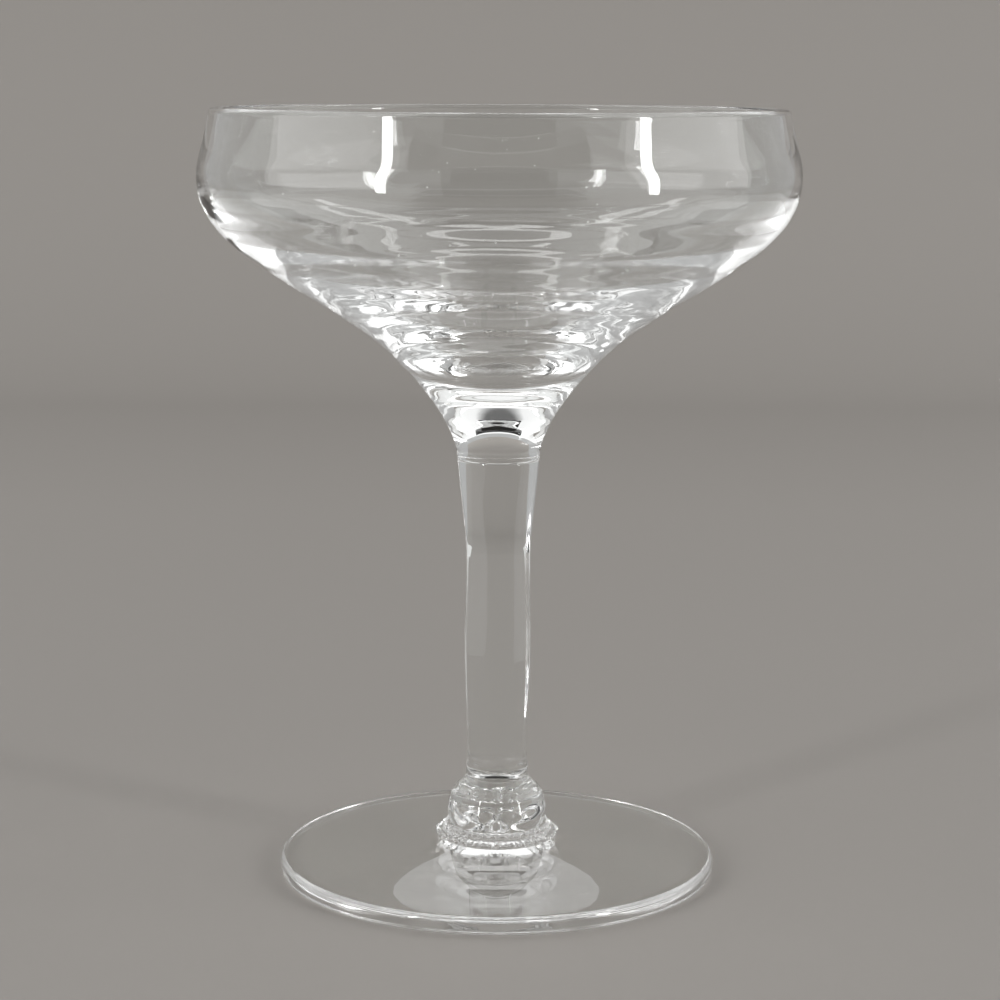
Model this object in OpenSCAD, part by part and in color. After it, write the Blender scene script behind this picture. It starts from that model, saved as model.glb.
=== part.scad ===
// Coupe glass: a wide shallow bowl on a drawn neck, an eight-panelled stem, a small collar,
// a wrinkled merese and a round foot. Millimetres, Z up, origin at the middle of the resting face.

/* [Bowl] */
// Outer diameter at the rim
rim_d = 103.4; // [90:0.1:116]
// Largest outer diameter, below the rim
belly_d = 108.1; // [94:0.1:122]
// Height of the upright wall, from the largest diameter to the rim
rim_h = 12; // [8:0.5:24]
// Height of the flank, from the top of the neck to the largest diameter
flank_h = 28.8; // [22:0.2:40]
// Outer diameter where the flank runs into the neck
flank_d = 46.5; // [38:0.5:56]
// Slope of the flank there, up from the level, in degrees
flank_slope = 36.2; // [28:0.2:44]
// Thickness of the fire-polished rim
rim_wall = 2; // [1.2:0.1:2.8]
// Thickness of the wall at the largest diameter
belly_wall = 1.8; // [1.2:0.1:3.4]
// Thickness of the wall at the top of the neck
flank_wall = 4.4; // [2.4:0.1:5]

/* [Neck] */
// Height of the neck, from the weld to where the flank begins
neck_h = 22.2; // [18:0.2:30]
// Solid glass between the weld and the bottom of the bowl's inside
floor_t = 18; // [14:0.5:20]
// Diameter of the weld between bowl and stem
weld_d = 15; // [12:0.1:18]

/* [Stem] */
// Length of the stem, from the collar to the weld
stem_len = 59.7; // [45:0.1:110]
// Number of flat panels cut on the stem
panel_count = 8; // [6:2:12]
// Width across two opposite panels at the waist below the weld
waist_w = 11.5; // [9.5:0.1:12.5]
// Width across two opposite panels at the swelling in the middle
swell_w = 12; // [9.5:0.1:13]
// Width across two opposite panels near their lower ends
ankle_w = 11; // [9:0.1:12]
// Diameter of the round lower end of the stem
stem_end_d = 11.5; // [10:0.1:13]
// Height of the round lower end, below the panels
ankle_h = 3.2; // [2:0.1:6]

/* [Collar] */
// Height of the collar
collar_h = 8.7; // [6:0.1:13]
// Diameter at the collar's shoulder
shoulder_d = 17.2; // [15:0.1:19]
// Height of the domed top, above the shoulder
shoulder_h = 3.7; // [2.4:0.1:4.4]
// Diameter of the collar's lower face
collar_foot_d = 17.4; // [15:0.1:19]
// How far the side of the collar swells outside a straight wall
collar_swell = 0.32; // [0.1:0.02:0.5]

/* [Merese] */
// Height of the merese
merese_h = 2.5; // [2:0.1:4]
// Diameter of the merese over its wrinkled edge
merese_d = 20.8; // [20:0.1:23]
// Thickness of the merese's edge
merese_edge_h = 1.6; // [1.2:0.1:1.8]
// Number of wrinkles pinched round the edge
wrinkle_count = 40; // [36:1:60]
// How far the wrinkles stand out of the edge between them
wrinkle_depth = 0.4; // [0.2:0.05:0.6]

/* [Foot] */
// Diameter of the foot
foot_d = 80.4; // [64:0.2:96]
// Thickness of the foot under the merese
foot_mid_t = 6.1; // [4.6:0.1:8]
// Thickness of the foot at its edge
foot_edge_t = 3.2; // [2.2:0.1:4]
// Radius of the foot's rounded edge
foot_edge_r = 1; // [0.4:0.1:1]

/* [Hidden] */

// Smoothness: facets of a full turn, and points on each curve of an outline
$fn = 128;
curve_points = 10;
bowl_points = 22;
stem_points = 6;
lip_points = 10;

// Heights of the seams, from the resting face up
merese_z = foot_mid_t;
collar_z = merese_z + merese_h;
stem_z = collar_z + collar_h;
weld_z = stem_z + stem_len;
flank_z = weld_z + neck_h;
belly_z = flank_z + flank_h;
rim_z = belly_z + rim_h;
lip_r = rim_wall / 2;
lip_z = rim_z - lip_r;

// How far the handles of each curve reach, as shares of that curve's height
rim_handle_shares = [0.26, 0.6];
flank_handle_shares = [0.44, 0.64];
neck_handle_shares = [0.225, 0.33];
floor_handle_shares = [1.2, 1.45];
top_handle_shares = [0.42, 0.3];
even_handle_shares = [0.4, 0.4];
dome_handle_shares = [0.35, 0.54, 0.42];
foot_handle_share = 0.33;
// Lean of the outer wall where it meets the lip, as a share of the height
rim_lean_share = 0.2;
// Slope of the inside where it runs into the bowl's bottom, as a share of the outer slope
inner_slope_share = 0.85;
// How far the arrises between the panels stand out, as a share of the panels' own distance
arris_share = 0.062;
// How much of their height the arrises still have at the panels' lower ends
ankle_arris_share = 0.4;
// Places of the swelling and the waist, as shares of the panels' length
stem_swell_share = 0.4;
stem_waist_share = 0.66;
// Slopes of the foot's top at its edge and at the merese, as shares of its mean slope
foot_edge_slope_share = 0.74;
foot_mid_slope_share = 1.5;

// A point on a curve from a to d that leaves towards b and arrives from c
function curve_point(a, b, c, d, t) =
    pow(1 - t, 3) * a + 3 * pow(1 - t, 2) * t * b + 3 * (1 - t) * t * t * c + pow(t, 3) * d;

// Points from a up to, and not including, d
function curve(a, b, c, d, n) = [for (i = [0 : n - 1]) curve_point(a, b, c, d, i / n)];

// A curve between two points of an outline that are upright at both ends
function upright_curve(a, d, shares, n) =
    let (h = d[1] - a[1])
    curve(a, a + [0, h * shares[0]], d - [0, h * shares[1]], d, n);

// A unit vector at an angle above the level
function along(angle) = [cos(angle), sin(angle)];

function reversed(points) = [for (i = [len(points) - 1 : -1 : 0]) points[i]];

// The outside of the bowl, from the weld up to the lip
function bowl_outside() =
    let (
        weld = [weld_d / 2, weld_z],
        flank = [flank_d / 2, flank_z],
        belly = [belly_d / 2, belly_z],
        lip = [rim_d / 2, lip_z],
        slope = along(flank_slope),
        lip_lean = [-rim_lean_share, 1]
    )
    concat(
        curve(weld, weld + [0, neck_h * neck_handle_shares[1]],
            flank - slope * neck_h * neck_handle_shares[0], flank, bowl_points),
        curve(flank, flank + slope * flank_h * flank_handle_shares[1],
            belly - [0, flank_h * flank_handle_shares[0]], belly, bowl_points),
        curve(belly, belly + [0, rim_h * rim_handle_shares[0]],
            lip - lip_lean * rim_h * rim_handle_shares[1], lip, curve_points));

// The rounded lip, from its outer side over the top to its inner side
function lip() =
    [for (i = [0 : lip_points]) [rim_d / 2 - lip_r, lip_z] + lip_r * along(180 * i / lip_points)];

// The inside of the bowl, from the middle of its bottom up to the lip
function bowl_inside() =
    let (
        bottom = [0, weld_z + floor_t],
        flank = [flank_d / 2, flank_z] + flank_wall * along(flank_slope + 90),
        belly = [belly_d / 2 - belly_wall, belly_z],
        lip = [rim_d / 2 - rim_wall, lip_z],
        slope = along(flank_slope * inner_slope_share),
        dip = flank[1] - bottom[1],
        drop = belly_z - flank[1],
        lip_lean = [-rim_lean_share, 1]
    )
    concat(
        curve(bottom, bottom + [dip * floor_handle_shares[1], 0],
            flank - slope * dip * floor_handle_shares[0], flank, bowl_points),
        curve(flank, flank + slope * drop * flank_handle_shares[1],
            belly - [0, drop * flank_handle_shares[0]], belly, bowl_points),
        curve(belly, belly + [0, rim_h * rim_handle_shares[0]],
            lip - lip_lean * rim_h * rim_handle_shares[1], lip, curve_points));

// The blown bowl with its solid base and the neck drawn from it
module bowl() {
    color([0.86, 0.89, 0.87, 0.35])
    rotate_extrude()
    polygon(concat([[0, weld_z]], bowl_outside(), lip(), reversed(bowl_inside())));
}

// Half the width of the stem along its height, where the panels' own distance grows by a share:
// none gives the panels, and arris_share the round shaft that their arrises lie on
function stem_side(grow) =
    let (
        swell_z = stem_z + ankle_h + (stem_len - ankle_h) * stem_swell_share,
        waist_z = stem_z + ankle_h + (stem_len - ankle_h) * stem_waist_share,
        ankle = [ankle_w / 2 * (1 + grow * ankle_arris_share), stem_z + ankle_h],
        swell = [swell_w / 2 * (1 + grow), swell_z],
        waist = [waist_w / 2 * (1 + grow), waist_z],
        weld = [weld_d / 2, weld_z],
        flare = [weld_d / 2 - waist[0], weld_z - waist_z]
    )
    concat(
        upright_curve(ankle, swell, even_handle_shares, stem_points),
        upright_curve(swell, waist, even_handle_shares, stem_points),
        curve(waist, waist + [0, flare[1] * top_handle_shares[1]],
            weld - flare * top_handle_shares[0], weld, stem_points),
        [weld]);

// The round shaft that the panels are cut on
module stem_shaft() {
    rotate_extrude()
    polygon(concat([[0, stem_z], [stem_end_d / 2, stem_z]], stem_side(arris_share), [[0, weld_z]]));
}

// A slab whose two faces are one pair of opposite panels, flared to clear the round lower end
module panel_pair() {
    side = concat([[weld_d / 2, stem_z]], stem_side(0));
    other_side = [for (p = reversed(side)) [-p[0], p[1]]];
    rotate([90, 0, 0])
    linear_extrude(height = 2 * weld_d, center = true)
    polygon(concat(side, other_side));
}

// What lies inside every pair of panels
module all_panels() {
    intersection_for (i = [0 : panel_count / 2 - 1])
        rotate(i * 360 / panel_count) panel_pair();
}

// The solid stem with its flat panels, round again at both ends
module stem() {
    color([0.84, 0.88, 0.86, 0.35])
    intersection() {
        stem_shaft();
        all_panels();
    }
}

// The knop between the stem and the merese: a domed top over a sharp shoulder and a swelling side
module collar() {
    shoulder = [shoulder_d / 2, stem_z - shoulder_h];
    base = [collar_foot_d / 2, collar_z];
    top = [stem_end_d / 2, stem_z];
    side_h = collar_h - shoulder_h;
    bulge = 2 * collar_swell;
    top_reach = [(shoulder[0] - top[0]) * dome_handle_shares[1], -shoulder_h * dome_handle_shares[2]];
    color([0.82, 0.87, 0.85, 0.35])
    rotate_extrude()
    polygon(concat(
        [[0, collar_z]],
        curve(base, base + [bulge, side_h * even_handle_shares[0]],
            shoulder + [bulge, -side_h * even_handle_shares[1]], shoulder, curve_points),
        curve(shoulder, shoulder + [0, shoulder_h * dome_handle_shares[0]],
            top + top_reach, top, curve_points),
        [top, [0, stem_z]]));
}

// The merese without its wrinkles: a button with a flat edge and a sloping top
module merese_core() {
    core_r = merese_d / 2 - wrinkle_depth;
    edge_z = merese_z + merese_edge_h;
    rotate_extrude()
    polygon([
        [0, merese_z], [core_r, merese_z], [core_r, edge_z - merese_edge_h / 2],
        [core_r - wrinkle_depth, edge_z], [collar_foot_d / 2, collar_z], [0, collar_z]]);
}

// One wrinkle: a ball let into the edge, as high as the edge, that stands out by the wrinkles' depth
module wrinkle() {
    r = merese_edge_h / 2;
    translate([merese_d / 2 - r, 0, merese_z + r])
    sphere(r = r);
}

// The flattened button of glass between the collar and the foot, its edge pinched into wrinkles
module merese() {
    color([0.9, 0.92, 0.9, 0.35])
    union() {
        merese_core();
        for (i = [0 : wrinkle_count - 1])
            rotate(i * 360 / wrinkle_count) wrinkle();
    }
}

// The foot, flat below, sloping on top and rounded at its edge
module foot() {
    seat = [merese_d / 2, foot_mid_t];
    crown = [foot_d / 2 - foot_edge_r, foot_edge_t];
    low_edge = [crown[0], foot_edge_r];
    high_edge = [crown[0], foot_edge_t - foot_edge_r];
    run = crown[0] - seat[0];
    fall = seat[1] - crown[1];
    color([0.84, 0.88, 0.86, 0.35])
    rotate_extrude()
    polygon(concat(
        [[0, 0], [crown[0], 0]],
        [for (i = [0 : lip_points]) low_edge + foot_edge_r * along(-90 + 90 * i / lip_points)],
        [for (i = [0 : lip_points]) high_edge + foot_edge_r * along(90 * i / lip_points)],
        curve(crown, crown + [-run, fall * foot_edge_slope_share] * foot_handle_share,
            seat + [run, -fall * foot_mid_slope_share] * foot_handle_share, seat, curve_points),
        [seat, [0, foot_mid_t]]));
}

bowl();
stem();
collar();
merese();
foot();
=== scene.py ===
import math
import random

import bpy
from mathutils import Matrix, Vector


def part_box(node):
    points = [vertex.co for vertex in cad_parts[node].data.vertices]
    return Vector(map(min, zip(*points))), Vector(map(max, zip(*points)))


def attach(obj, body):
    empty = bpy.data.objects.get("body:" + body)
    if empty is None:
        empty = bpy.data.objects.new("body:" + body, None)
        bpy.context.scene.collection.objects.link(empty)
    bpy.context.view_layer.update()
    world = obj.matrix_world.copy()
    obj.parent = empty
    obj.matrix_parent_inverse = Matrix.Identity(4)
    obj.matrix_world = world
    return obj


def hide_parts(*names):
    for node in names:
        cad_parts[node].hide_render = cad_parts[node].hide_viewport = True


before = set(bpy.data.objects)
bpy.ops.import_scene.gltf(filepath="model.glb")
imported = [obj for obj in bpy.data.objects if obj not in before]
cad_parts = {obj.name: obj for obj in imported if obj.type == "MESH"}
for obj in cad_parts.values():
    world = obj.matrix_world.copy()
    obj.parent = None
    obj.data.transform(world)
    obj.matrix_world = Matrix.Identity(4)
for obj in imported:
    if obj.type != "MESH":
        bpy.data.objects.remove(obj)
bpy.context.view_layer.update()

# Lengths are in metres, as the frame's are. Those written in millimetres are turned with MM.
MM = 0.001

# Smoothness of the glass: points round a full turn, round a wrinkled one, on a curve and on a small arc
TURN_POINTS = 256
WRINKLE_POINTS = 768
CURVE_POINTS = 36
LIP_POINTS = 16

# Sizes of the solids, except where a comment below says that a form is only here
bowl_low, bowl_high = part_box("bowl")
RIM_Z = bowl_high[2]
WELD_Z = bowl_low[2]
STEM_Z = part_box("stem")[0][2]
COLLAR_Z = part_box("collar")[0][2]
MERESE_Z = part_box("merese")[0][2]
RIM_R = 51.7 * MM
BELLY_R = 54.05 * MM
RIM_H = 12 * MM
FLANK_H = 28.8 * MM
FLANK_R = 23.25 * MM
FLANK_SLOPE = math.radians(36.2)
RIM_WALL = 2 * MM
BELLY_WALL = 1.8 * MM
FLANK_WALL = 4.4 * MM
NECK_H = 22.2 * MM
FLOOR_T = 18 * MM
WELD_R = 7.5 * MM
# How far the bowl's curves keep their direction, as shares of the neck's, flank's and rim's heights
NECK_IN, NECK_OUT = 0.225, 0.33
FLANK_IN, FLANK_OUT = 0.44, 0.64
RIM_IN, RIM_OUT = 0.26, 0.6
RIM_LEAN = 0.2
# The same for the inside's bottom, and how steep the inside is there, as a share of the flank's slope
BOTTOM_OUT, BOTTOM_IN = 1.45, 1.2
INSIDE_SLOPE_SHARE = 0.85

PANEL_COUNT = 8
WAIST_R = 5.75 * MM
SWELL_R = 6 * MM
ANKLE_R = 5.5 * MM
STEM_END_R = 5.75 * MM
ANKLE_H = 3.2 * MM
ARRIS_SHARE = 0.062
ANKLE_ARRIS_SHARE = 0.4
SWELL_SHARE = 0.4
WAIST_SHARE = 0.66
ARRIS_SOFTNESS = 0.06 * MM
STEM_STEPS = 160

SHOULDER_R = 8.6 * MM
SHOULDER_H = 3.7 * MM
COLLAR_FOOT_R = 8.7 * MM
COLLAR_SWELL = 0.32 * MM

MERESE_R = 10.4 * MM
# Only here: finer wrinkles, and two tiers, where the solid has one. The tiers are one reading of the
# photograph's two rings, whose heights and widths they don't match.
TIER_R = (11.1 * MM, 9.65 * MM)
WRINKLE_H = 0.55 * MM
WRINKLE_COUNTS = (13, 23, 31, 41, 53, 71)
# How much a wrinkle slants, at most, in radians for a metre of height
WRINKLE_SLANT = 2500
WRINKLE_START = 0.8 * MM

FOOT_R = 40.2 * MM
FOOT_EDGE_T = 3.2 * MM
FOOT_EDGE_R = 1 * MM
# Only here, and a guess: a hollow underside. The photograph doesn't show the underside. The hollow takes
# away stripes that the photograph doesn't have, and other forms may do that too.
HOLLOW_H = 1.8 * MM
HOLLOW_R = 37.6 * MM
HOLLOW_FLAT_R = 8 * MM
HOLLOW_TURN = (20 * MM, 0.45 * HOLLOW_H)
# Only here, by less than 0.2 mm: where the foot's slope turns up, and its slopes there and at the edge
KNEE_R = 14 * MM
KNEE_Z = 5.47 * MM
KNEE_SLOPE = math.tan(math.radians(6))
EDGE_SLOPE = math.tan(math.radians(3.6))

# Only here: uneven walls. Waves in a turn, their length up the wall and their height, in millimetres
WALL_WAVES = ((3, 34, 0.03), (5, 24, 0.016), (9, 19, 0.004))
TOOL_WAVES = ((0, 2.6, 0.009), (0, 3.7, 0.016), (1, 4.6, 0.016), (0, 6.3, 0.026))
# Heights and radius over which the waves grow to full size, and the rim's part that has no tool marks
WAVE_EASE_H = 14 * MM
WAVE_EASE_R = 8 * MM
TOOL_FREE_H, TOOL_EASE_H = 10 * MM, 16 * MM

# Dust: how many specks, over which depth under the rim, their spread round the front and their sizes
DUST_COUNT = 46
DUST_DEPTH = (36 * MM, 3 * MM)
DUST_SPREAD = 24
DUST_SIZE = (0.05, 0.15)
DUST_LENGTH = (0.7, 1.8)
DUST_THICKNESS = 0.4
# The surface's waviness as height and spacing; smears where the cloudy pattern is over a span's lower end
CLEAR_WAVES = (0.004 * MM, 6 * MM)
PINCHED_WAVES = (0.12 * MM, 0.6 * MM)
SMEAR_SPACING = 16 * MM
SMEAR_SPAN = (0.55, 0.75)
SMEAR_ROUGHNESS = 0.05

# The camera stands a little to the left of straight in front; the stage is turned with it
VIEW_TURN = 4.5
MIDDLE = (0, 0, 0.08)
CAMERA_ROLL = -0.25
CAMERA_DOWN = 9.7
CAMERA_AWAY = 0.4535
CAMERA_H = 0.1467
CAMERA_LENS = 90.65
PAPER = (0.306, 0.289, 0.271)
# Painted light: how much paler the paper is painted from its front edge, 0, over the bottom of its back, 0.5,
# to its top, 1, standing in for the stronger light that falls on the backdrop's upper part
PAPER_PAINTED_LIGHT = ((0.23, 1.0), (0.33, 1.09), (0.6, 1.12), (0.72, 1.15), (1.0, 1.75))
# Brightness of the room at elevations in degrees
ROOM_LEVELS = ((0, 0.4), (25.4, 0.5), (25.9, 1.15), (48, 1.15), (66, 1.0), (76, 0.15))
# The sweep: its front, back and top, the radius of its bend and half its width; its floor is under the foot
SWEEP_FRONT, SWEEP_BACK, SWEEP_TOP = -0.6, 0.9, 0.455
SWEEP_BEND, SWEEP_HALF, BEND_STEPS = 0.25, 0.6, 24
SWEEP_FLOOR_Z = -0.15 * MM
WHITE = (0.85, 0.85, 0.84)
# White papers on the floor: side, start, end; then how far out their inner and outer edges lie
SIDE_PAPERS = (("card_left", -1, -0.26, 0.42), ("card_right", 1, -0.1, 0.42))
PAPER_INNER_START, PAPER_INNER_END, PAPER_OUTER = 0.14, 0.22, 0.5
# Lamps: azimuth, elevation, width and height in degrees, and level; cards: the same with a grey. The cards
# are painted shade: dark and grey sheets put where the room is only unlit, which the glass shows as dark
# reflections
LAMPS = (("strip_left", -43, 12, 4, 36, 20), ("strip_right", 57, 12, 4.4, 36, 20),
         ("side_left", -68, 16, 54, 36, 1.1), ("side_right", 78, 16, 54, 36, 1.1))
CEILING = ("ceiling", 180, 62, 64, 4, 3.5)
PAINTED_SHADE_CARDS = (("dark_front", 0, 8, 40, 40, 0.06), ("grey_front", 0, 42, 60, 26, 0.25),
         ("dark_above", 0, 72, 44, 24, 0.01), ("dark_behind", 180, 34, 36, 12.5, 0.01))
CARD_DISTANCE = 0.98


def curve(a, b, c, d, count):
    """Points from a up to, and not including, d, leaving a towards b and reaching d from c."""
    points = []
    for i in range(count):
        t = i / count
        s = 1 - t
        points.append(tuple(s ** 3 * a[k] + 3 * s * s * t * b[k] + 3 * s * t * t * c[k] + t ** 3 * d[k]
                            for k in range(2)))
    return points


def arc(centre, radius, start, end, count):
    """Points on an arc, its two ends included; angles in degrees."""
    points = []
    for i in range(count + 1):
        angle = math.radians(start + (end - start) * i / count)
        points.append((centre[0] + radius * math.cos(angle), centre[1] + radius * math.sin(angle)))
    return points


def bowl_outside():
    """The outside of the bowl from the weld up to the lip."""
    weld = (WELD_R, WELD_Z)
    flank = (FLANK_R, WELD_Z + NECK_H)
    belly = (BELLY_R, flank[1] + FLANK_H)
    lip = (RIM_R, RIM_Z - RIM_WALL / 2)
    cos, sin = math.cos(FLANK_SLOPE), math.sin(FLANK_SLOPE)
    neck_in, neck_out = NECK_IN * NECK_H, NECK_OUT * NECK_H
    flank_in, flank_out = FLANK_IN * FLANK_H, FLANK_OUT * FLANK_H
    rim_in, rim_out = RIM_IN * RIM_H, RIM_OUT * RIM_H
    return (curve(weld, (weld[0], weld[1] + neck_out),
                  (flank[0] - cos * neck_in, flank[1] - sin * neck_in), flank, CURVE_POINTS * 2)
            + curve(flank, (flank[0] + cos * flank_out, flank[1] + sin * flank_out),
                    (belly[0], belly[1] - flank_in), belly, CURVE_POINTS * 2)
            + curve(belly, (belly[0], belly[1] + rim_in),
                    (lip[0] + RIM_LEAN * rim_out, lip[1] - rim_out), lip, CURVE_POINTS))


def bowl_inside():
    """The inside of the bowl from the middle of its bottom up to the lip."""
    bottom = (0, WELD_Z + FLOOR_T)
    cos, sin = math.cos(FLANK_SLOPE), math.sin(FLANK_SLOPE)
    flank = (FLANK_R - sin * FLANK_WALL, WELD_Z + NECK_H + cos * FLANK_WALL)
    belly = (BELLY_R - BELLY_WALL, WELD_Z + NECK_H + FLANK_H)
    lip = (RIM_R - RIM_WALL, RIM_Z - RIM_WALL / 2)
    slope = FLANK_SLOPE * INSIDE_SLOPE_SHARE
    cos, sin = math.cos(slope), math.sin(slope)
    dip = flank[1] - bottom[1]
    drop = belly[1] - flank[1]
    rim_in, rim_out = RIM_IN * RIM_H, RIM_OUT * RIM_H
    return (curve(bottom, (BOTTOM_OUT * dip, bottom[1]),
                  (flank[0] - cos * BOTTOM_IN * dip, flank[1] - sin * BOTTOM_IN * dip), flank, CURVE_POINTS)
            + curve(flank, (flank[0] + cos * FLANK_OUT * drop, flank[1] + sin * FLANK_OUT * drop),
                    (belly[0], belly[1] - FLANK_IN * drop), belly, CURVE_POINTS * 2)
            + curve(belly, (belly[0], belly[1] + rim_in),
                    (lip[0] + RIM_LEAN * rim_out, lip[1] - rim_out), lip, CURVE_POINTS))


def bowl_outline():
    lip = arc((RIM_R - RIM_WALL / 2, RIM_Z - RIM_WALL / 2), RIM_WALL / 2, 0, 180, LIP_POINTS)
    return bowl_outside() + lip + bowl_inside()[::-1]


def spin(name, outline, weld_rings=(), warp=None, count=TURN_POINTS):
    """Revolves an outline of (radius, height) points that starts and ends on the axis or closes itself.

    weld_rings holds the indices of the bands of faces that lie on a weld. warp moves each point.
    """
    turn = [2 * math.pi * i / count for i in range(count)]
    verts, faces, seams = [], [], []
    rings = []
    for k, (r, z) in enumerate(outline):
        if r < 1e-9:
            rings.append([len(verts)])
            verts.append((0, 0, z))
            continue
        ring = []
        for a in turn:
            point = (r, a, z) if warp is None else warp(r, a, z, k)
            ring.append(len(verts))
            verts.append((point[0] * math.cos(point[1]), point[0] * math.sin(point[1]), point[2]))
        rings.append(ring)
    for k in range(len(rings) - 1):
        low, high = rings[k], rings[k + 1]
        for i in range(count):
            j = (i + 1) % count
            if len(low) == 1:
                face = (low[0], high[j], high[i])
            elif len(high) == 1:
                face = (low[i], low[j], high[0])
            else:
                face = (low[i], low[j], high[j], high[i])
            faces.append(face)
            seams.append(k in weld_rings)
    mesh = bpy.data.meshes.new(name)
    mesh.from_pydata(verts, [], faces)
    mesh.validate()
    mesh.update()
    piece = bpy.data.objects.new(name, mesh)
    bpy.context.collection.objects.link(piece)
    for polygon, seam in zip(mesh.polygons, seams):
        polygon.use_smooth = True
        polygon.material_index = 1 if seam else 0
    return piece


def stem_outline(grow):
    """Half widths of the stem along its height; grow is 0 for the panels and ARRIS_SHARE for the arrises."""
    length = WELD_Z - STEM_Z - ANKLE_H
    ankle = (ANKLE_R * (1 + grow * ANKLE_ARRIS_SHARE), STEM_Z + ANKLE_H)
    swell = (SWELL_R * (1 + grow), ankle[1] + length * SWELL_SHARE)
    waist = (WAIST_R * (1 + grow), ankle[1] + length * WAIST_SHARE)
    weld = (WELD_R, WELD_Z)
    lower, upper = swell[1] - ankle[1], waist[1] - swell[1]
    flare_r, flare_h = weld[0] - waist[0], weld[1] - waist[1]
    foot = [(STEM_END_R, STEM_Z)] if grow else [(WELD_R, STEM_Z)]
    return (foot
            + curve(ankle, (ankle[0], ankle[1] + 0.4 * lower),
                    (swell[0], swell[1] - 0.4 * lower), swell, CURVE_POINTS)
            + curve(swell, (swell[0], swell[1] + 0.4 * upper),
                    (waist[0], waist[1] - 0.4 * upper), waist, CURVE_POINTS)
            + curve(waist, (waist[0], waist[1] + 0.3 * flare_h),
                    (weld[0] - 0.42 * flare_r, weld[1] - 0.42 * flare_h), weld, CURVE_POINTS)
            + [weld])


def width_at(outline, z):
    """Half width of an outline at a height."""
    for (r0, z0), (r1, z1) in zip(outline, outline[1:]):
        if z0 <= z <= z1:
            return r0 + (r1 - r0) * (z - z0) / (z1 - z0)
    return outline[-1][0]


def stem_radius(panel, round_r, angle):
    """Distance of the stem's side from the axis: flat panels whose arrises are softly rounded."""
    step = 2 * math.pi / PANEL_COUNT
    off = (angle + math.pi / 2 + step / 2) % step - step / 2
    flat = panel / math.cos(off)
    low, high = min(flat, round_r), max(flat, round_r)
    return low - ARRIS_SOFTNESS * math.log(1 + math.exp(-(high - low) / ARRIS_SOFTNESS))


def make_stem():
    panels, arrises = stem_outline(0), stem_outline(ARRIS_SHARE)
    heights = [STEM_Z + (WELD_Z - STEM_Z) * i / STEM_STEPS for i in range(STEM_STEPS + 1)]
    outline = [(0, STEM_Z)] + [(width_at(arrises, z), z) for z in heights] + [(0, WELD_Z)]

    def warp(r, a, z, k):
        if k in (1, len(outline) - 2):
            return (r, a, z)
        return (stem_radius(width_at(panels, z), r, a), a, z)

    return spin("stem_glass", outline, weld_rings=(0, len(outline) - 2), warp=warp)


def make_collar():
    base = (COLLAR_FOOT_R, COLLAR_Z)
    shoulder = (SHOULDER_R, STEM_Z - SHOULDER_H)
    side = shoulder[1] - base[1]
    bulge = 2 * COLLAR_SWELL
    outline = ([(0, COLLAR_Z)]
               + curve(base, (base[0] + bulge, base[1] + 0.4 * side),
                       (shoulder[0] + bulge, shoulder[1] - 0.4 * side), shoulder, CURVE_POINTS)
               + curve(shoulder, (SHOULDER_R, shoulder[1] + 0.35 * SHOULDER_H),
                       (STEM_END_R + 0.54 * (SHOULDER_R - STEM_END_R), STEM_Z - 0.42 * SHOULDER_H),
                       (STEM_END_R, STEM_Z), CURVE_POINTS)
               + [(STEM_END_R, STEM_Z), (0, STEM_Z)])
    return spin("collar_glass", outline, weld_rings=(0, len(outline) - 2))


def make_merese():
    """The flattened button of glass; its edge is pinched into uneven wrinkles."""
    edge_r = (COLLAR_Z - MERESE_Z) / 4
    outline = ([(0, MERESE_Z), (TIER_R[0] - edge_r, MERESE_Z)]
               + arc((TIER_R[0] - edge_r, MERESE_Z + edge_r), edge_r, -85, 80, LIP_POINTS)
               + arc((TIER_R[1] - edge_r, COLLAR_Z - edge_r), edge_r, -70, 80, LIP_POINTS)
               + [(COLLAR_FOOT_R, COLLAR_Z), (0, COLLAR_Z)])
    rng = random.Random(7)
    waves = [(n, rng.uniform(0, 2 * math.pi), rng.uniform(0.5, 1),
              rng.uniform(-WRINKLE_SLANT, WRINKLE_SLANT)) for n in WRINKLE_COUNTS]
    total = sum(w[2] for w in waves)

    def warp(r, a, z, k):
        if r <= COLLAR_FOOT_R or k == 0:
            return (r, a, z)
        wave = sum(s * math.sin(n * a + p + t * z) for n, p, s, t in waves) / total
        reach = min(1, (r - COLLAR_FOOT_R) / WRINKLE_START)
        return (r + wave * WRINKLE_H * reach, a, z + (wave * WRINKLE_H / 2 * reach if k > 1 else 0))

    return spin("merese_glass", outline, weld_rings=(0, len(outline) - 2), warp=warp, count=WRINKLE_POINTS)


def make_foot():
    seat = (MERESE_R - 0.6 * MM, MERESE_Z)
    crown = (FOOT_R - FOOT_EDGE_R, FOOT_EDGE_T)
    knee = (KNEE_R, KNEE_Z)
    run = (crown[0] - knee[0]) / 3
    turn = (knee[0] - seat[0]) / 3
    outline = (curve((0, HOLLOW_H), (HOLLOW_FLAT_R, HOLLOW_H), HOLLOW_TURN, (HOLLOW_R, 0), CURVE_POINTS * 2)
               + arc((crown[0], FOOT_EDGE_R), FOOT_EDGE_R, -90, 0, LIP_POINTS)
               + arc((crown[0], FOOT_EDGE_T - FOOT_EDGE_R), FOOT_EDGE_R, 0, 90, LIP_POINTS)
               + curve(crown, (crown[0] - run, crown[1] + run * EDGE_SLOPE),
                       (knee[0] + run, knee[1] - run * KNEE_SLOPE), knee, CURVE_POINTS * 2)
               + curve(knee, (knee[0] - turn, knee[1] + turn * KNEE_SLOPE),
                       (seat[0] + turn, seat[1] - turn * 0.2), seat, LIP_POINTS)
               + [seat, (0, MERESE_Z)])
    return spin("foot_glass", outline, weld_rings=(len(outline) - 2,))


def ease(share):
    """Runs smoothly from 0 to 1 as the share does."""
    t = min(max(share, 0), 1)
    return t * t * (3 - 2 * t)


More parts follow.
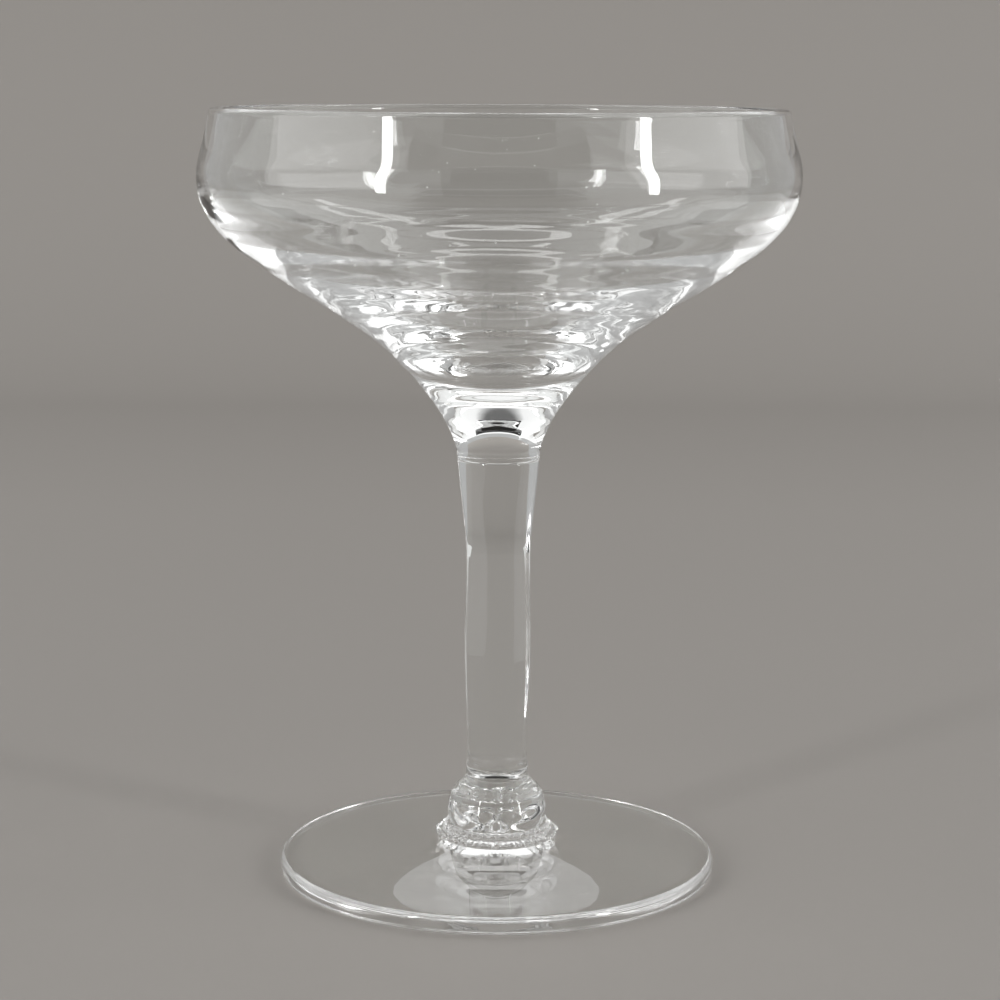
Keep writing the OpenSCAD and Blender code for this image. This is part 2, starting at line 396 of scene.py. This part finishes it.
def ripple(waves, rng):
    """An uneven wall: how far it stands out at an angle and a height."""
    phases = [rng.uniform(0, 2 * math.pi) for _ in waves]

    def out(a, z):
        return sum(h * MM * math.sin(n * a + p + 2 * math.pi * z / (w * MM))
                   for (n, w, h), p in zip(waves, phases))

    return out


def lean(z):
    """How far the bowl's wall leans out at a height, as an angle from the upright."""
    steepest = math.pi / 2 - FLANK_SLOPE
    flank_z = WELD_Z + NECK_H
    if z < flank_z:
        return steepest * ease((z - WELD_Z) / NECK_H)
    return steepest * (1 - ease((z - flank_z) / FLANK_H))


def make_bowl():
    """The bowl; its outside and inside ripple each in its own way, and never beyond the solid's outside."""
    outline = [(0, WELD_Z)] + bowl_outline()
    outer_end = len(bowl_outside()) + LIP_POINTS // 2
    rng = random.Random(3)
    walls = [ripple(WALL_WAVES, rng) for _ in range(2)]
    tools = [ripple(TOOL_WAVES, rng) for _ in range(2)]
    depth = sum(h for _, _, h in WALL_WAVES + TOOL_WAVES) * MM

    def warp(r, a, z, k):
        side = 0 if k <= outer_end else 1
        grow = ease((z - WELD_Z) / WAVE_EASE_H) * ease((RIM_Z - z) / WAVE_EASE_H) * ease(r / WAVE_EASE_R)
        fine = ease((RIM_Z - TOOL_FREE_H - z) / TOOL_EASE_H)
        move = walls[side](a, z) + tools[side](a, z) * fine
        if side == 0:
            move -= depth
        angle = lean(z)
        return (r + move * grow * math.cos(angle), a, z - move * grow * math.sin(angle))

    return spin("bowl_glass", outline, weld_rings=(0,), warp=warp)


def make_dust():
    """Specks of dust on the front of the bowl, each a small flat grain with eight faces."""
    rng = random.Random(11)
    side = bowl_outside()
    verts, faces = [], []
    for _ in range(DUST_COUNT):
        z = rng.uniform(RIM_Z - DUST_DEPTH[0], RIM_Z - DUST_DEPTH[1])
        a = math.radians(rng.gauss(-90 - VIEW_TURN, DUST_SPREAD))
        size = rng.uniform(*DUST_SIZE) * MM
        out, along = (math.cos(a), math.sin(a), 0), (-math.sin(a), math.cos(a), 0)
        middle = [width_at(side, z) * v for v in out]
        first = len(verts)
        for way, length in ((out, DUST_THICKNESS), (along, rng.uniform(*DUST_LENGTH)), ((0, 0, 1), 1)):
            for sign in (1, -1):
                verts.append(tuple(m + sign * length * size * w for m, w in zip((*middle[:2], z), way)))
        for x, y, up in ((0, 2, 4), (2, 1, 4), (1, 3, 4), (3, 0, 4)):
            faces.append((first + x, first + y, first + up))
            faces.append((first + y, first + x, first + 5))
    mesh = bpy.data.meshes.new("dust")
    mesh.from_pydata(verts, [], faces)
    piece = bpy.data.objects.new("dust", mesh)
    bpy.context.collection.objects.link(piece)
    mesh.materials.append(dust_material())
    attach(piece, "root")


def dust_material():
    mat = bpy.data.materials.new("dust")
    mat.use_nodes = True
    shader = mat.node_tree.nodes["Principled BSDF"]
    shader.inputs["Base Color"].default_value = (0.8, 0.8, 0.78, 1)
    shader.inputs["Roughness"].default_value = 0.9
    return mat


def noise(mat, spacing, detail):
    """A cloudy pattern whose patches lie about a spacing apart on the glass."""
    nodes, links = mat.node_tree.nodes, mat.node_tree.links
    place = nodes.new("ShaderNodeTexCoord")
    cloud = nodes.new("ShaderNodeTexNoise")
    cloud.inputs["Scale"].default_value = 1 / spacing
    cloud.inputs["Detail"].default_value = detail
    links.new(place.outputs["Object"], cloud.inputs["Vector"])
    return cloud.outputs["Fac"]


def glass_material(name, wave_height, wave_spacing):
    """Clear glass with the waviness of hand work and, in patches, smears that dull it a little."""
    mat = bpy.data.materials.new(name)
    mat.use_nodes = True
    nodes, links = mat.node_tree.nodes, mat.node_tree.links
    shader = nodes["Principled BSDF"]
    shader.inputs["Base Color"].default_value = (0.985, 0.995, 0.99, 1)
    shader.inputs["IOR"].default_value = 1.5
    shader.inputs["Transmission Weight"].default_value = 1.0
    wave = nodes.new("ShaderNodeBump")
    wave.inputs["Distance"].default_value = wave_height
    links.new(noise(mat, wave_spacing, 1), wave.inputs["Height"])
    links.new(wave.outputs["Normal"], shader.inputs["Normal"])
    smear = nodes.new("ShaderNodeMapRange")
    smear.inputs["From Min"].default_value, smear.inputs["From Max"].default_value = SMEAR_SPAN
    smear.inputs["To Max"].default_value = SMEAR_ROUGHNESS
    links.new(noise(mat, SMEAR_SPACING, 4), smear.inputs["Value"])
    links.new(smear.outputs["Result"], shader.inputs["Roughness"])
    return mat


def weld_material():
    """The fused inside of a weld, which nothing shows."""
    mat = bpy.data.materials.new("fused_weld")
    mat.use_nodes = True
    shader = mat.node_tree.nodes["Principled BSDF"]
    shader.inputs["Alpha"].default_value = 0.0
    return mat


def paint_light_along(mat, colour, levels):
    """Paints light into a paper's colour, which gets paler along its length by the given levels."""
    nodes, links = mat.node_tree.nodes, mat.node_tree.links
    place = nodes.new("ShaderNodeTexCoord")
    along = nodes.new("ShaderNodeVectorMath")
    along.operation = "DOT_PRODUCT"
    along.inputs[1].default_value = (0, 0.5, 0.5)
    ramp = nodes.new("ShaderNodeValToRGB")
    links.new(place.outputs["Generated"], along.inputs[0])
    links.new(along.outputs["Value"], ramp.inputs["Fac"])
    links.new(ramp.outputs["Color"], nodes["Principled BSDF"].inputs["Base Color"])
    stops = ramp.color_ramp.elements
    while len(stops) < len(levels):
        stops.new(0.5)
    for stop, (share, level) in zip(stops, levels):
        stop.position = share
        stop.color = (*(c * level for c in colour), 1)


def sheet(name, verts, faces, colour, roughness=0.9, specular=0.1):
    """A flat or swept card of plain paper for the stage."""
    mesh = bpy.data.meshes.new(name)
    mesh.from_pydata(verts, [], faces)
    for polygon in mesh.polygons:
        polygon.use_smooth = True
    card = bpy.data.objects.new(name, mesh)
    bpy.context.collection.objects.link(card)
    mat = bpy.data.materials.new(name + "_paper")
    mat.use_nodes = True
    shader = mat.node_tree.nodes["Principled BSDF"]
    shader.inputs["Base Color"].default_value = (*colour, 1)
    shader.inputs["Roughness"].default_value = roughness
    shader.inputs["Specular IOR Level"].default_value = specular
    mesh.materials.append(mat)
    return card


def make_stage():
    """A grey paper sweep, with white paper laid on it at both sides of the picture."""
    middle = (SWEEP_BACK - SWEEP_BEND, SWEEP_FLOOR_Z + SWEEP_BEND)
    path = [(SWEEP_FRONT, SWEEP_FLOOR_Z)]
    path += arc(middle, SWEEP_BEND, -90, 0, BEND_STEPS)
    path += [(SWEEP_BACK, SWEEP_TOP)]
    verts = [(x, y, z) for y, z in path for x in (-SWEEP_HALF, SWEEP_HALF)]
    faces = [(2 * i, 2 * i + 1, 2 * i + 3, 2 * i + 2) for i in range(len(path) - 1)]
    sweep = sheet("sweep", verts, faces, PAPER)
    # Painted light: the sweep's paper is painted paler towards its top.
    paint_light_along(sweep.data.materials[0], PAPER, PAPER_PAINTED_LIGHT)
    sweep.rotation_euler = (0, 0, math.radians(-VIEW_TURN))
    for name, side, start, end in SIDE_PAPERS:
        corners = ((PAPER_INNER_START, start), (PAPER_OUTER, start),
                   (PAPER_OUTER, end), (PAPER_INNER_END, end))
        white = sheet(name, [(side * x, y, 0) for x, y in corners], [(0, 1, 2, 3)], WHITE)
        white.rotation_euler = (0, 0, math.radians(-VIEW_TURN))


def facing(azimuth, elevation, distance=1.0):
    """A place seen from the glass at an azimuth and elevation."""
    e = math.radians(elevation)
    offset = around(azimuth, distance * math.cos(e), distance * math.sin(e))
    return tuple(m + v for m, v in zip(MIDDLE, offset))


def soft_box(name, azimuth, elevation, width, height, level):
    """A soft box seen from the glass over a width and height in degrees, as bright as a level of white."""
    lamp = bpy.data.lights.new(name, "AREA")
    lamp.shape = "RECTANGLE"
    lamp.size, lamp.size_y = (2 * math.tan(math.radians(a / 2)) for a in (width, height))
    lamp.energy = level * math.pi * lamp.size * lamp.size_y
    obj = bpy.data.objects.new(name, lamp)
    bpy.context.collection.objects.link(obj)
    aim(obj, facing(azimuth, elevation), MIDDLE)
    obj.visible_camera = False
    return obj


def card(name, azimuth, elevation, width, height, colour):
    """A plain grey card, painted shade put where the room is only unlit, seen from the glass over a width and
    height in degrees.
    """
    x, y = (math.tan(math.radians(a / 2)) for a in (width, height))
    obj = sheet(name, [(-x, -y, 0), (x, -y, 0), (x, y, 0), (-x, y, 0)], [(0, 1, 2, 3)], colour)
    aim(obj, facing(azimuth, elevation, CARD_DISTANCE), MIDDLE)
    return obj


def aim(obj, place, target):
    obj.location = place
    obj.rotation_euler = (Vector(target) - Vector(place)).to_track_quat("-Z", "Y").to_euler()


def around(azimuth, distance, height):
    """A place at an azimuth seen from above, where 0 is the camera's side and + is to the right."""
    a = math.radians(azimuth - VIEW_TURN)
    return (distance * math.sin(a), -distance * math.cos(a), height)


def make_lights():
    for lamp in LAMPS:
        soft_box(*lamp)
    ceiling = soft_box(*CEILING)
    ceiling.visible_diffuse = False
    # The cards are painted shade: grey and near-black sheets standing in for the unlit parts of the room.
    for *place, grey in PAINTED_SHADE_CARDS:
        card(*place, (grey, grey, grey))
    make_room()


def make_room():
    """The plain room: mid grey near the level, white above it and darker straight overhead."""
    world = bpy.data.worlds.new("room")
    world.use_nodes = True
    nodes, links = world.node_tree.nodes, world.node_tree.links
    place = nodes.new("ShaderNodeTexCoord")
    split = nodes.new("ShaderNodeSeparateXYZ")
    ramp = nodes.new("ShaderNodeValToRGB")
    links.new(place.outputs["Generated"], split.inputs["Vector"])
    links.new(split.outputs["Z"], ramp.inputs["Fac"])
    links.new(ramp.outputs["Color"], nodes["Background"].inputs["Color"])
    stops = ramp.color_ramp.elements
    while len(stops) < len(ROOM_LEVELS):
        stops.new(0.5)
    for stop, (elevation, level) in zip(stops, ROOM_LEVELS):
        stop.position = math.sin(math.radians(elevation))
        stop.color = (level, level, level, 1)
    bpy.context.scene.world = world


def make_camera():
    cam = bpy.data.cameras.new("camera")
    cam.lens = CAMERA_LENS
    cam.sensor_width = 36
    obj = bpy.data.objects.new("camera", cam)
    bpy.context.collection.objects.link(obj)
    obj.location = around(0, CAMERA_AWAY, CAMERA_H)
    obj.rotation_euler = (math.radians(90 - CAMERA_DOWN), math.radians(CAMERA_ROLL), math.radians(-VIEW_TURN))
    cam.clip_start = 0.01
    bpy.context.scene.camera = obj


clear = glass_material("clear_glass", *CLEAR_WAVES)
pinched = glass_material("pinched_glass", *PINCHED_WAVES)
weld = weld_material()
for node, maker in (("bowl", make_bowl), ("stem", make_stem), ("collar", make_collar),
                    ("merese", make_merese), ("foot", make_foot)):
    piece = maker()
    piece.data.materials.append(pinched if node == "merese" else clear)
    piece.data.materials.append(weld)
    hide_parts(node)
    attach(piece, "root")

make_dust()
make_stage()
make_lights()
make_camera()

scene = bpy.context.scene
scene.view_settings.view_transform = "Standard"
scene.cycles.max_bounces = 64
scene.cycles.glossy_bounces = 64
scene.cycles.transmission_bounces = 64
scene.cycles.transparent_max_bounces = 64
scene.cycles.blur_glossy = 0
